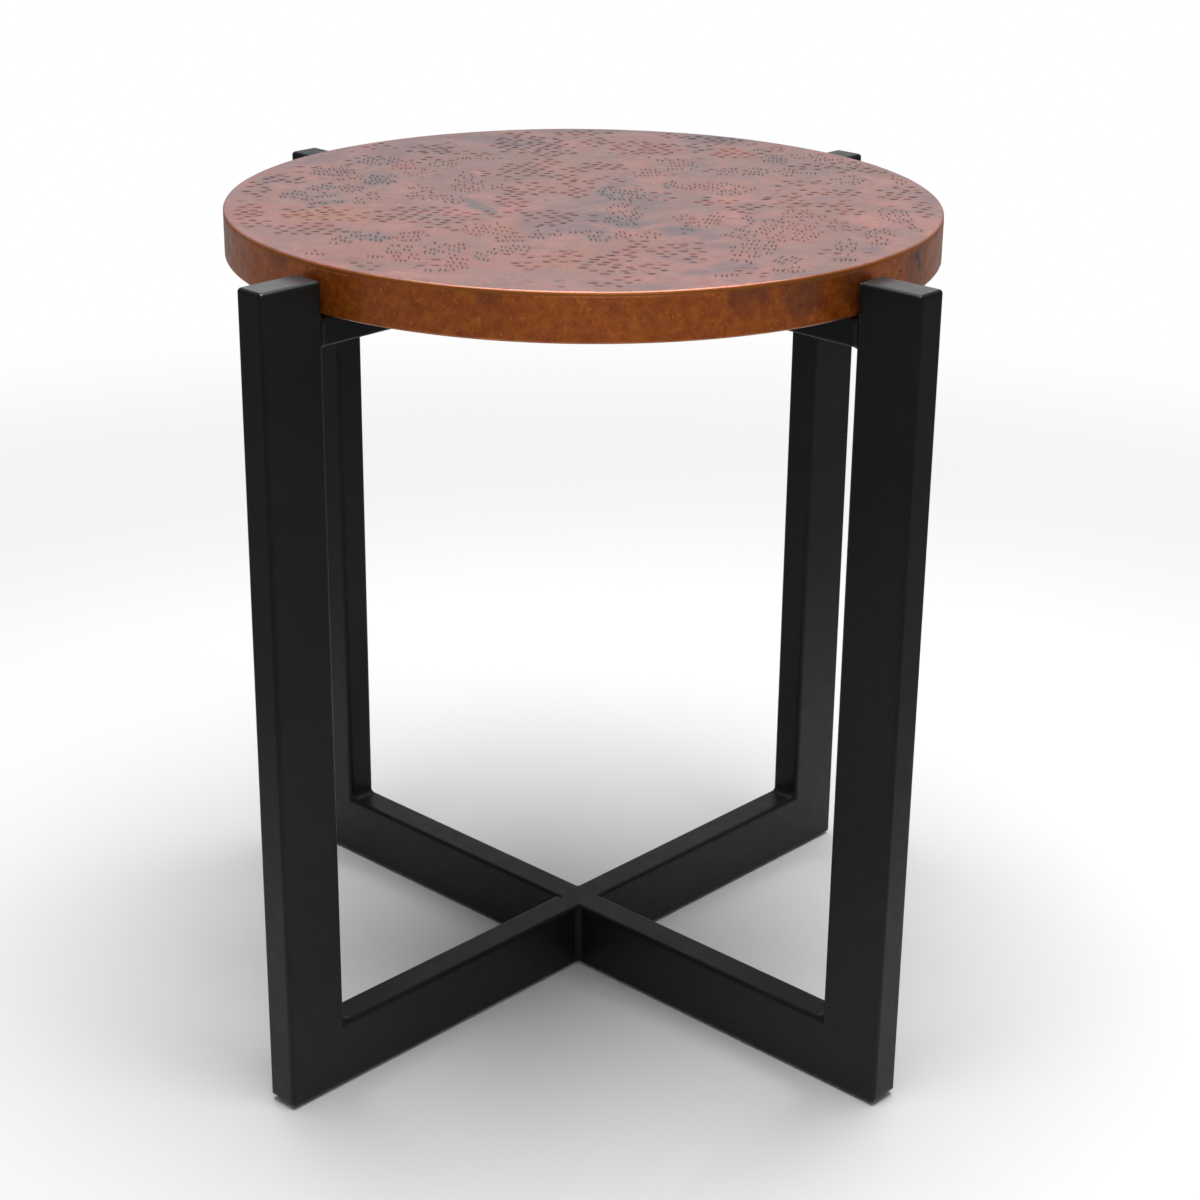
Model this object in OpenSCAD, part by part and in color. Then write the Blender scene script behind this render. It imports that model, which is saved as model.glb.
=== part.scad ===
// Round copper-clad tray on a welded steel tube base.
// Two upright tube frames cross at right angles. The tray drops in between the four leg tips, rests on
// the upper rails and lifts straight off.
// Origin: centre of the base on the floor. +Z is up, one frame lies along X and the other along Y.
// Front is -Y, right is +X, back is +Y and left is -X. All sizes are in millimetres.

/* [Table] */
// Height of the tray's top surface above the floor
table_h = 610; // [450:5:750]
// How far the leg tips end below the tray's top surface
tip_drop = 10; // [4:1:20]

/* [Tray] */
// Diameter of the tray over its copper
tray_d = 508; // [400:2:650]
// Thickness of the tray over its copper
tray_t = 34; // [28:1:50]
// Thickness of the copper sheet
copper_t = 1; // [0.6:0.1:1.5]
// Outside radius of the rolled copper edges
edge_r = 2; // [1.5:0.5:8]
// Depth of the sheet's straight skirt below its rolled edge
skirt_h = 1; // [0.5:0.5:5]
// Width of the flat lip that the band turns in under the core
lip_w = 24; // [14:1:40]
// Number of tacks through the lip, clear of the rails
tack_n = 12; // [8, 12, 16]

/* [Base] */
// Width of the leg and lower rail tube, in the plane of its frame
tube_w = 50; // [30:1:60]
// Thickness of the leg and lower rail tube
tube_t = 25; // [22:1:32]
// Wall of the leg and lower rail tube
tube_wall = 2; // [1.5:0.5:2.5]
// Corner radius of the leg and lower rail tube
tube_r = 3; // [2.5:0.5:5]
// Side of the square upper rail tube
rail_s = 20; // [16:1:21]
// Wall of the upper rail tube
rail_wall = 1.5; // [1:0.5:1.5]
// Corner radius of the upper rail tube
rail_r = 2; // [1.5:0.5:3]
// Thickness of the plates that close the leg tips
cap_t = 3; // [2:0.5:5]

/* [Pads and welds] */
// Thickness of the pads under the feet
foot_pad_t = 1.5; // [1:0.5:4]
// Thickness of the felt dots on the upper rails
rest_pad_t = 1; // [0.5:0.5:2]
// Leg length of the fillet weld in each lower corner
lower_weld = 7; // [4:1:9]
// Leg length of the fillet weld at each end of the upper rails
upper_weld = 5; // [3:1:7]
// Leg length of the upright welds in the crossings
crossing_weld = 3; // [2:0.5:5]

/* [Clearances] */
// Gap between the tray's rim and the leg faces
rim_gap = 2.5; // [1:0.5:6]
// Gap between the resting tray and its felt dots
rest_gap = 0.3; // [0.2:0.1:0.5]

/* [Hidden] */

$fn = 96;

// Turn about Z that brings a piece built along +X to each side of the base
at_right = 0;
at_back = 90;
at_left = 180;
at_front = 270;
all_sides = [at_right, at_back, at_left, at_front];

powder_black = "#1b1d20";
pad_grey = "#3a3a3a";
copper_rose = "#a8644c";
copper_amber = "#a4561c";
board_brown = "#8a6a48";
backing_black = "#242220";

// Tray
tray_r = tray_d / 2;
tray_bottom = table_h - tray_t;
core_r = tray_r - copper_t;
core_edge_r = edge_r - copper_t;
seam_z = table_h - edge_r - skirt_h;
lip_in_r = tray_r - edge_r - lip_w;
tack_ring_r = tray_r - edge_r - lip_w / 2;
tack_head_r = 3;
tack_head_h = 1;
tack_shank_r = 0.8;
tack_shank_l = 12;
backing_gap = 0.5;

// Base
leg_in = tray_r + rim_gap;
leg_out = leg_in + tube_w;
leg_top = table_h - tip_drop;
foot_z = foot_pad_t;
lower_top = foot_z + tube_w;
upper_top = tray_bottom - rest_gap - rest_pad_t;
upper_bottom = upper_top - rail_s;
foot_pad_r = tube_t / 2 - tube_r - 0.5;
foot_pad_at = leg_out - foot_pad_r - 5;
rest_pad_r = rail_s / 2 - rail_r;
rest_pad_at = 0.79 * tray_r;
over = 5; // how far a cutting shape reaches past the piece it cuts

// Rectangle centred on the origin with true round corners
module rounded_rect(w, h, r) {
    square([w - 2 * r, h], center = true);
    square([w, h - 2 * r], center = true);
    for (x = [-1, 1], y = [-1, 1]) {
        translate([x * (w / 2 - r), y * (h / 2 - r)])
            circle(r);
    }
}

// Cross-section of a tube with round corners
module tube_section(w, h, r, wall) {
    difference() {
        rounded_rect(w, h, r);
        rounded_rect(w - 2 * wall, h - 2 * wall, max(r - wall, 0.5));
    }
}

// Cross-section of a fillet weld in the corner at the origin, with a hollow face
module bead_section(leg) {
    difference() {
        square(leg);
        translate([leg, leg])
            circle(0.9 * leg);
    }
}

// Extrudes a section drawn in Y and Z along +X from x0 to x1
module along_x(x0, x1) {
    translate([x0, 0, 0])
        rotate([90, 0, 90])
            linear_extrude(x1 - x0)
                children();
}

// Extrudes a section drawn in X and Z across the frame, centred on it
module across(length) {
    rotate([90, 0, 0])
        linear_extrude(length, center = true)
            children();
}

// Half of the foot corner on the rail's side of the mitre
module rail_side_of_mitre() {
    across(tube_t + 2 * over)
        polygon([
            [leg_in - over, lower_top + over],
            [leg_in - over, foot_z - over],
            [leg_out + over, foot_z - over]
        ]);
}

// Half of the foot corner on the leg's side of the mitre
module leg_side_of_mitre() {
    across(tube_t + 2 * over)
        polygon([
            [leg_in - over, lower_top + over],
            [leg_out + over, lower_top + over],
            [leg_out + over, foot_z - over]
        ]);
}

// Leg tube on the +X side, mitred where it meets the lower rail
module leg(side) {
    color(powder_black)
        rotate([0, 0, side])
            difference() {
                translate([(leg_in + leg_out) / 2, 0, foot_z])
                    linear_extrude(leg_top - cap_t - foot_z)
                        tube_section(tube_w, tube_t, tube_r, tube_wall);
                rail_side_of_mitre();
            }
}

// Plate welded over a leg tip
module leg_cap(side) {
    color(powder_black)
        rotate([0, 0, side])
            translate([(leg_in + leg_out) / 2, 0, leg_top - cap_t])
                linear_extrude(cap_t)
                    rounded_rect(tube_w, tube_t, tube_r);
}

// Section of the lower rail, placed at its height
module lower_rail_section() {
    translate([0, foot_z + tube_w / 2])
        tube_section(tube_t, tube_w, tube_r, tube_wall);
}

// Section of the upper rail, placed at its height
module upper_rail_section() {
    translate([0, upper_bottom + rail_s / 2])
        tube_section(rail_s, rail_s, rail_r, rail_wall);
}

// Lower rail that runs through the crossing, mitred into two legs
module lower_rail_long() {
    color(powder_black)
        difference() {
            along_x(-leg_out, leg_out)
                lower_rail_section();
            for (side = [at_right, at_left]) {
                rotate([0, 0, side])
                    leg_side_of_mitre();
            }
        }
}

// Half rail from the crossing to a leg
module lower_rail_half(side) {
    color(powder_black)
        rotate([0, 0, side])
            difference() {
                along_x(tube_t / 2, leg_out)
                    lower_rail_section();
                leg_side_of_mitre();
            }
}

// Upper rail that runs through, between two legs
module upper_rail_long() {
    color(powder_black)
        along_x(-leg_in, leg_in)
            upper_rail_section();
}

// Half of the other upper rail, from the crossing to a leg
module upper_rail_half(side) {
    color(powder_black)
        rotate([0, 0, side])
            along_x(rail_s / 2, leg_in)
                upper_rail_section();
}

// Beads in the four inner corners between legs and lower rails
module lower_corner_welds() {
    color(powder_black)
        for (side = all_sides) {
            rotate([0, 0, side])
                translate([leg_in, 0, lower_top])
                    mirror([1, 0, 0])
                        across(tube_t - 2 * tube_r)
                            bead_section(lower_weld);
        }
}

// Bead that closes the step between an upper rail's side and the rounded corner of its leg
module upper_side_bead() {
    translate([0, 0, upper_bottom + rail_r])
        linear_extrude(rail_s - 2 * rail_r)
            difference() {
                polygon([
                    [leg_in - upper_weld, rail_s / 2],
                    [leg_in - upper_weld, rail_s / 2 + 0.4],
                    [leg_in + tube_r / 3, tube_t / 2 - 0.4],
                    [leg_in + tube_r / 3, rail_s / 2]
                ]);
                translate([(leg_in + leg_out) / 2, 0])
                    rounded_rect(tube_w, tube_t, tube_r);
            }
}

// Beads at the sides and underneath each end of the upper rails
module upper_corner_welds() {
    color(powder_black)
        for (side = all_sides) {
            rotate([0, 0, side]) {
                upper_side_bead();
                mirror([0, 1, 0])
                    upper_side_bead();
                translate([leg_in, 0, upper_bottom])
                    mirror([1, 0, 0])
                        mirror([0, 0, 1])
                            across(rail_s - 2 * rail_r)
                                bead_section(upper_weld);
            }
        }
}

// Upright beads in the four corners of a crossing of tubes of thickness t
module crossing_welds(t, z0, z1) {
    color(powder_black)
        for (side = all_sides) {
            rotate([0, 0, side])
                translate([t / 2, t / 2, z0])
                    linear_extrude(z1 - z0)
                        bead_section(crossing_weld);
        }
}

// Weld metal between the long rail's round edge and the end of a half rail, on the +Y side of the top
module edge_filler(t, r, z_edge) {
    along_x(-t / 2 + r, t / 2 - r)
        translate([t / 2 - r, z_edge - r])
            difference() {
                square(r);
                circle(r);
            }
}

// Fillers on both sides of a crossing, along the top and the bottom
module fillers_of(t, r, z0, z1) {
    for (back = [0, 1]) {
        mirror([0, back, 0]) {
            edge_filler(t, r, z1);
            translate([0, 0, z0 + z1])
                mirror([0, 0, 1])
                    edge_filler(t, r, z1);
        }
    }
}

// Weld metal ground flush at both crossings
module crossing_fillers() {
    color(powder_black) {
        fillers_of(tube_t, tube_r, foot_z, lower_top);
        fillers_of(rail_s, rail_r, upper_bottom, upper_top);
    }
}

// Thin round pad under a foot
module foot_pad(side) {
    color(pad_grey)
        rotate([0, 0, side])
            translate([foot_pad_at, 0, 0])
                cylinder(h = foot_pad_t, r = foot_pad_r);
}

// Felt dots on the upper rails
module rest_pads() {
    color(pad_grey)
        for (side = all_sides) {
            rotate([0, 0, side])
                translate([rest_pad_at, 0, upper_top])
                    cylinder(h = rest_pad_t, r = rest_pad_r);
        }
}

// Ring section of the rolled copper, as a quarter turn about the origin
module rolled_quarter() {
    intersection() {
        difference() {
            circle(edge_r);
            circle(edge_r - copper_t);
        }
        square(edge_r);
    }
}

// Round board with softened edges that fills the copper
module tray_core() {
    z0 = tray_bottom + copper_t;
    z1 = table_h - copper_t;
    color(board_brown)
        rotate_extrude() {
            translate([0, z0])
                square([core_r - core_edge_r, z1 - z0]);
            translate([0, z0 + core_edge_r])
                square([core_r, z1 - z0 - 2 * core_edge_r]);
            for (z = [z0 + core_edge_r, z1 - core_edge_r]) {
                translate([core_r - core_edge_r, z])
                    circle(core_edge_r);
            }
        }
}

// Top sheet, rolled over the edge into a short skirt
module tray_top_sheet() {
    color(copper_rose)
        rotate_extrude() {
            translate([0, table_h - copper_t])
                square([tray_r - edge_r, copper_t]);
            translate([tray_r - edge_r, table_h - edge_r])
                rolled_quarter();
            translate([core_r, seam_z])
                square([copper_t, skirt_h]);
        }
}

// Side band, rolled under the core into a flat lip
module tray_rim_band() {
    color(copper_amber)
        rotate_extrude() {
            translate([core_r, tray_bottom + edge_r])
                square([copper_t, seam_z - tray_bottom - edge_r]);
            translate([tray_r - edge_r, tray_bottom + edge_r])
                mirror([0, 1])
                    rolled_quarter();
            translate([lip_in_r, tray_bottom])
                square([lip_w, copper_t]);
        }
}

// Thin panel inside the lip, under the core
module tray_backing() {
    color(backing_black)
        translate([0, 0, tray_bottom])
            cylinder(h = copper_t, r = lip_in_r - backing_gap);
}

// Tacks driven up through the lip into the core
module lip_tacks() {
    step = 360 / tack_n;
    color(copper_amber)
        for (i = [0 : tack_n - 1]) {
            rotate([0, 0, (i + 0.5) * step])
                translate([tack_ring_r, 0, tray_bottom - tack_head_h]) {
                    cylinder(h = tack_head_h, r1 = tack_head_r * 0.6, r2 = tack_head_r);
                    cylinder(h = tack_head_h + tack_shank_l, r = tack_shank_r);
                }
        }
}

leg(at_front);  // leg_front
leg(at_right);  // leg_right
leg(at_back);  // leg_back
leg(at_left);  // leg_left
leg_cap(at_front);  // leg_cap_front
leg_cap(at_right);  // leg_cap_right
leg_cap(at_back);  // leg_cap_back
leg_cap(at_left);  // leg_cap_left
lower_rail_long();
lower_rail_half(at_front);  // lower_rail_front
lower_rail_half(at_back);  // lower_rail_back
upper_rail_long();
upper_rail_half(at_front);  // upper_rail_front
upper_rail_half(at_back);  // upper_rail_back
lower_corner_welds();
upper_corner_welds();
crossing_welds(tube_t, foot_z + tube_r, lower_top - tube_r);  // lower_crossing_welds
crossing_welds(rail_s, upper_bottom + rail_r, upper_top - rail_r);  // upper_crossing_welds
crossing_fillers();
foot_pad(at_front);  // foot_pad_front
foot_pad(at_right);  // foot_pad_right
foot_pad(at_back);  // foot_pad_back
foot_pad(at_left);  // foot_pad_left
rest_pads();
tray_core();
tray_top_sheet();
tray_rim_band();
tray_backing();
lip_tacks();
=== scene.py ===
import math
import random

import bmesh
import bpy
from mathutils import Matrix, Vector, noise
from mathutils.geometry import delaunay_2d_cdt


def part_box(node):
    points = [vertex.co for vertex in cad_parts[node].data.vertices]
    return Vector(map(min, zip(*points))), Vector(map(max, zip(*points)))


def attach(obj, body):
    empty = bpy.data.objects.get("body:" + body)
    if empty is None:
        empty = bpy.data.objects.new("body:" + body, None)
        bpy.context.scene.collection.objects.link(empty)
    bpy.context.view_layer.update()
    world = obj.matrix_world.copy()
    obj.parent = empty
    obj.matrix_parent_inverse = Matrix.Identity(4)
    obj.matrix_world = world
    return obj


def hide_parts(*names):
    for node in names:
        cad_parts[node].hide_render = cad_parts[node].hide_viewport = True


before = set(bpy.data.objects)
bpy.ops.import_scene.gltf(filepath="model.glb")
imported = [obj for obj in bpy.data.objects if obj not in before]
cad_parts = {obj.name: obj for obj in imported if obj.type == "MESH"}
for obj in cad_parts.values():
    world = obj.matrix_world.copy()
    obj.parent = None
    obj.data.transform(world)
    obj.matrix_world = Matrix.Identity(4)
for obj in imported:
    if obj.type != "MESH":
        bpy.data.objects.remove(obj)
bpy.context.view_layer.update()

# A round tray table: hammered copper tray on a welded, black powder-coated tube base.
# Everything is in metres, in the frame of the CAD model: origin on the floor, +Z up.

MM = 0.001
SEED = 11
SIDES = {"right": 0, "back": 90, "left": 180, "front": 270}

# ---------------------------------------------------------------- sizes, from the frame

sheet_low, sheet_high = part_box("tray_top_sheet")
band_low, band_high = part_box("tray_rim_band")
backing_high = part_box("tray_backing")[1]
leg_low, leg_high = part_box("leg_right")
cap_low, cap_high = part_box("leg_cap_right")
lower_low, lower_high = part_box("lower_rail_long")
upper_low, upper_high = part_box("upper_rail_long")
foot_pad_low, foot_pad_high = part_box("foot_pad_right")
rest_pads_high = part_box("rest_pads")[1]

TRAY_R = sheet_high.x
TOP_Z = sheet_high.z
SEAM_Z = sheet_low.z
TRAY_Z = band_low.z
COPPER = backing_high.z - TRAY_Z
LIP_W = 24 * MM
LIP_IN = backing_high.x + 0.5 * MM
EDGE_R = TRAY_R - LIP_W - LIP_IN

LEG_IN, LEG_OUT = leg_low.x, leg_high.x
LEG_MID = (LEG_IN + LEG_OUT) / 2
TUBE_W = LEG_OUT - LEG_IN
TUBE_T = leg_high.y - leg_low.y
TUBE_R = 3 * MM
TUBE_WALL = 2 * MM
FOOT_Z = lower_low.z
FOOT_R = 6.5 * MM
LOWER_TOP = lower_high.z
CAP_Z = cap_low.z
LEG_TOP = cap_high.z
RAIL_S = upper_high.z - upper_low.z
RAIL_R = 2 * MM
RAIL_WALL = 1.5 * MM
UPPER_MID = (upper_low.z + upper_high.z) / 2


# ---------------------------------------------------------------- mesh building

class Shell:
    """The points and faces of one piece, built up loop by loop, with four paint values for each point.

    On steel they are the edge, worn corner, unused and polish. On the tray's top they are the dent, patina,
    tint and rolled edge. On its band they are the dark spot, painted highlight on the edges, brown haze and
    unused.
    """

    def __init__(self):
        self.points = []
        self.paint = []
        self.faces = []

    def loop(self, points, paint=(0, 0, 0, 0)):
        """Adds points and returns their numbers. paint is one set of values, or a list with one for each."""
        start = len(self.points)
        self.points.extend(points)
        each = paint if isinstance(paint, list) else [paint] * len(points)
        self.paint.extend(each)
        return list(range(start, len(self.points)))

    def skin(self, a, b):
        """Quads between two closed loops of the same length."""
        n = len(a)
        for i in range(n):
            j = (i + 1) % n
            self.faces.append((a[i], a[j], b[j], b[i]))

    def skins(self, loops, closed=False):
        """Quads through a row of loops, and back to the first if it is closed."""
        for a, b in zip(loops, loops[1:]):
            self.skin(a, b)
        if closed:
            self.skin(loops[-1], loops[0])

    def lid(self, loop):
        """One face over a loop."""
        self.faces.append(tuple(loop))


def turned(point, degrees):
    """A point turned about Z."""
    return Matrix.Rotation(math.radians(degrees), 3, "Z") @ Vector(point)


def make_piece(name, shell, body, material, nodes, sharp=40):
    """A mesh object from a shell, riding on a body and standing for CAD nodes.

    Edges past sharp degrees stay crisp.
    """
    mesh = bpy.data.meshes.new(name)
    mesh.from_pydata([tuple(p) for p in shell.points], [], shell.faces)
    bm = bmesh.new()
    bm.from_mesh(mesh)
    bmesh.ops.recalc_face_normals(bm, faces=bm.faces)
    bm.to_mesh(mesh)
    bm.free()
    paint = mesh.color_attributes.new("paint", "FLOAT_COLOR", "POINT")
    paint.data.foreach_set("color", [value for p in shell.paint for value in p])
    mesh.shade_smooth()
    mesh.set_sharp_from_angle(angle=math.radians(sharp))
    mesh.materials.append(material)
    piece = bpy.data.objects.new(name, mesh)
    bpy.context.scene.collection.objects.link(piece)
    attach(piece, body)
    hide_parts(*nodes)
    return piece


def make_steel(name, shell, material, nodes, sharp=40):
    """A powder-coated piece of the base."""
    make_piece(name, shell, "base", material, nodes, sharp)


# ---------------------------------------------------------------- tubes

ARC_STEPS = 6
FLAT_MARGIN = 0.9 * MM


def rounded_outline(w, h, r):
    """Points (u, v) round a w by h rectangle with round corners, and how much each is on a corner, 0 to 1.

    A point just past each arc keeps the shading of the flats flat.
    """
    points, corner = [], []
    for k in range(4):
        start = k * math.pi / 2
        cu = (w / 2 - r) * (1 if k in (0, 3) else -1)
        cv = (h / 2 - r) * (1 if k in (0, 1) else -1)
        before = Vector((math.cos(start), math.sin(start)))
        after = Vector((-before.y, before.x))
        points.append((cu + r * before.x - FLAT_MARGIN * after.x, cv + r * before.y - FLAT_MARGIN * after.y))
        corner.append(0)
        for i in range(ARC_STEPS + 1):
            a = start + i / ARC_STEPS * math.pi / 2
            points.append((cu + r * math.cos(a), cv + r * math.sin(a)))
            corner.append(math.sin(2 * (a - start)))
        points.append((cu + r * after.x - FLAT_MARGIN * before.x, cv + r * after.y - FLAT_MARGIN * before.y))
        corner.append(0)
    return points, corner


def hollow_bar(shell, w, h, r, wall, stations, place):
    """A tube w by h with round corners.

    Each station is (along, slope): its ring crosses the axis at along, and leans by slope times u.
    place turns (u, v, along) into a point.
    """
    outer, corner = rounded_outline(w, h, r)
    inner, _ = rounded_outline(w - 2 * wall, h - 2 * wall, max(r - wall, 0.6 * MM))
    paint = [(c, 0, 0, 0) for c in corner]
    outside = [shell.loop([place(u, v, a + s * u) for u, v in outer], paint) for a, s in stations]
    inside = [shell.loop([place(u, v, a + s * u) for u, v in inner]) for a, s in stations]
    shell.skins(outside + inside[::-1], closed=True)


def softened(x, z):
    """Rounds off the outside corner of a mitred foot on the +X or -X side."""
    out = abs(x) - (LEG_OUT - FOOT_R)
    down = FOOT_Z + FOOT_R - z
    reach = math.hypot(out, down)
    if out <= 0 or down <= 0 or reach <= FOOT_R:
        return x, z
    out, down = out * FOOT_R / reach, down * FOOT_R / reach
    return math.copysign(LEG_OUT - FOOT_R + out, x), FOOT_Z + FOOT_R - down


NEAR_FOOT = [d * MM for d in (0, 0.7, 1.4, 2.2, 3.1, 4.1, 5.2, 6.5, 9, 20, 60)]


def make_leg(side, material):
    """Leg tube, mitred at the foot and open under its cap."""
    degrees = SIDES[side]
    mitre = FOOT_Z + TUBE_W / 2
    stations = [(mitre + d, -1) for d in NEAR_FOOT]
    stations += [(z, 0) for z in (0.18, 0.32, 0.46, CAP_Z - 8 * MM, CAP_Z)]

    def place(u, v, along):
        x, z = softened(LEG_MID + u, along)
        return turned((x, v, z), degrees)

    shell = Shell()
    hollow_bar(shell, TUBE_W, TUBE_T, TUBE_R, TUBE_WALL, stations, place)
    make_steel(f"{side}_leg", shell, material, [f"leg_{side}"])


CAP_EDGE_R = 2.6 * MM
HANDLED = {"front": 1.0, "right": 0.8, "back": 0.3, "left": 0.1}   # how far hands have polished each leg tip


def make_leg_cap(side, material):
    """Plate over a leg tip, its top edges dressed round."""
    degrees = SIDES[side]
    shell = Shell()

    def ring(inset, z, wear, polish=0.0):
        corner_r = max(TUBE_R - inset, 0.2 * MM)
        outline, corner = rounded_outline(TUBE_W - 2 * inset, TUBE_T - 2 * inset, corner_r)
        points = [turned((LEG_MID + u, v, z), degrees) for u, v in outline]
        return shell.loop(points, [(max(c, wear), c * wear, 0, polish) for c in corner])

    rings = [ring(0, CAP_Z, 0), ring(0, LEG_TOP - CAP_EDGE_R, 0)]
    for i in range(1, 6):
        a = i / 5 * math.pi / 2
        z = LEG_TOP - CAP_EDGE_R * (1 - math.sin(a))
        rings.append(ring(CAP_EDGE_R * (1 - math.cos(a)), z, math.sin(2 * a), HANDLED[side] * (i // 5)))
    rings.append(ring(CAP_EDGE_R + 0.8 * MM, LEG_TOP, 0, HANDLED[side]))
    shell.skins(rings)
    shell.lid(rings[0][::-1])
    shell.lid(rings[-1])
    make_steel(f"{side}_leg_tip", shell, material, [f"leg_cap_{side}"])


def make_lower_rails(material):
    """Bottom rails: one runs through the crossing, the other is in two halves."""
    mid = (FOOT_Z + LOWER_TOP) / 2
    mitre = LEG_OUT - TUBE_W / 2
    far_end = [(mitre - d, -1) for d in NEAR_FOOT][::-1]
    near_end = [(-a, 1) for a, _ in far_end][::-1]
    at_crossing = [(TUBE_T / 2, 0), (TUBE_T / 2 + 2 * MM, 0), (0.06, 0), (0.12, 0)]
    runs = {
        "long": ("right", near_end + [(-0.12, 0), (0, 0), (0.12, 0)] + far_end),
        "front": ("front", at_crossing + far_end),
        "back": ("back", at_crossing + far_end),
    }
    for name, (side, stations) in runs.items():
        def place(u, v, along, degrees=SIDES[side]):
            x, z = softened(along, mid + u)
            return turned((x, v, z), degrees)

        shell = Shell()
        hollow_bar(shell, TUBE_W, TUBE_T, TUBE_R, TUBE_WALL, stations, place)
        make_steel(f"bottom_rail_{name}", shell, material, [f"lower_rail_{name}"])


def make_upper_rails(material):
    """Cross rails under the tray."""
    runs = {
        "long": ("right", [-LEG_IN, 4 * MM - LEG_IN, 0, LEG_IN - 4 * MM, LEG_IN]),
        "front": ("front", [RAIL_S / 2, RAIL_S / 2 + 2 * MM, 0.12, LEG_IN - 4 * MM, LEG_IN]),
        "back": ("back", [RAIL_S / 2, RAIL_S / 2 + 2 * MM, 0.12, LEG_IN - 4 * MM, LEG_IN]),
    }
    for name, (side, stops) in runs.items():
        def place(u, v, along, degrees=SIDES[side]):
            return turned((along, v, UPPER_MID + u), degrees)

        shell = Shell()
        hollow_bar(shell, RAIL_S, RAIL_S, RAIL_R, RAIL_WALL, [(a, 0) for a in stops], place)
        make_steel(f"top_rail_{name}", shell, material, [f"upper_rail_{name}"])


# ---------------------------------------------------------------- welds

RIPPLE_PITCH = 2.4 * MM
BEAD_STEP = 0.6 * MM
BEAD_TAPER = 2.2 * MM
BEAD_SINK = 0.3 * MM   # how far a bead's root is sunk into the faces beside it
BEAD_FACETS = 8


def add_bead(shell, start, end, side_a, side_b, leg_a, leg_b, rng, degrees=0, hollow=0.85):
    """Fillet weld along the corner line from start to end.

    side_a and side_b point along the two faces, away from the corner. hollow is 0 for a straight face from
    toe to toe and 1 for a round one that runs smoothly into both sides.
    """
    start, end = Vector(start), Vector(end)
    side_a, side_b = Vector(side_a), Vector(side_b)
    length = (end - start).length
    count = max(int(length / BEAD_STEP), 6)
    phase = rng.uniform(0, math.tau)
    wander = rng.uniform(0, 100)
    rings = []
    for i in range(count + 1):
        t = i / count
        to_end = min(t, 1 - t) * length / BEAD_TAPER
        ends = 0.3 + 0.7 * math.sin(min(to_end, 1) * math.pi / 2)
        ripple = 1 + 0.022 * math.sin(math.tau * t * length / RIPPLE_PITCH + phase)
        drift = 1 + 0.12 * noise.noise((t * length / (7 * MM), wander, 0))
        a, b = leg_a * ends * ripple * drift, leg_b * ends * (2 - ripple) * drift
        at = start.lerp(end, t)
        ring = [at - BEAD_SINK * (side_a + side_b), at + side_a * a - BEAD_SINK * side_b]
        for k in range(BEAD_FACETS + 1):
            s = k / BEAD_FACETS
            out = (1 - s) * (1 - hollow) + (1 - math.sin(s * math.pi / 2)) * hollow
            over = s * (1 - hollow) + (1 - math.cos(s * math.pi / 2)) * hollow
            ring.append(at + side_a * a * out + side_b * b * over)
        ring.append(at + side_b * b - BEAD_SINK * side_a)
        rings.append(shell.loop([turned(p, degrees) for p in ring], (0.1, 0, 0, 0)))
    shell.skins(rings)
    shell.lid(rings[0][::-1])
    shell.lid(rings[-1])


def make_corner_welds(material):
    """Beads in the inner corners of the legs, below at the bottom rails and above at the top rails."""
    rng = random.Random(SEED + 1)
    lower, upper = Shell(), Shell()
    half = TUBE_T / 2 - 1.6 * MM
    up, inwards = (0, 0, 1), (-1, 0, 0)
    under = upper_low.z
    rail_half = RAIL_S / 2
    for degrees in SIDES.values():
        add_bead(
            lower, (LEG_IN, -half, LOWER_TOP), (LEG_IN, half, LOWER_TOP), inwards, up,
            7 * MM, 7 * MM, rng, degrees,
        )
        add_bead(
            upper, (LEG_IN, MM - rail_half, under), (LEG_IN, rail_half - MM, under), inwards, (0, 0, -1),
            5.5 * MM, 5.5 * MM, rng, degrees,
        )
        for way in (-1, 1):
            side = way * rail_half
            add_bead(
                upper, (LEG_IN, side, under), (LEG_IN, side, upper_high.z - MM), inwards, (0.32, way, 0),
                4.6 * MM, 2.3 * MM, rng, degrees, hollow=0.7,
            )
    make_steel("bottom_corner_beads", lower, material, ["lower_corner_welds"], 80)
    make_steel("top_corner_beads", upper, material, ["upper_corner_welds"], 80)


def make_crossing_welds(material):
    """Upright beads in the corners of the two crossings."""
    rng = random.Random(SEED + 2)
    for name, half, low, high, leg in (
        ("bottom", TUBE_T / 2, FOOT_Z + 2 * MM, LOWER_TOP - 1.2 * MM, 4 * MM),
        ("top", RAIL_S / 2, upper_low.z + MM, upper_high.z - MM, 3 * MM),
    ):
        shell = Shell()
        for degrees in SIDES.values():
            ends = (half, half, low), (half, half, high)
            add_bead(shell, *ends, (1, 0, 0), (0, 1, 0), leg, leg, rng, degrees)
        node = {"bottom": "lower", "top": "upper"}[name] + "_crossing_welds"
        make_steel(f"{name}_crossing_beads", shell, material, [node], 80)


OPEN_SEAM = 5 * MM   # of one seam that was never filled, at its outer end
LUMP_R = 1.3 * MM
SEAM_STEPS = 32


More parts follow.
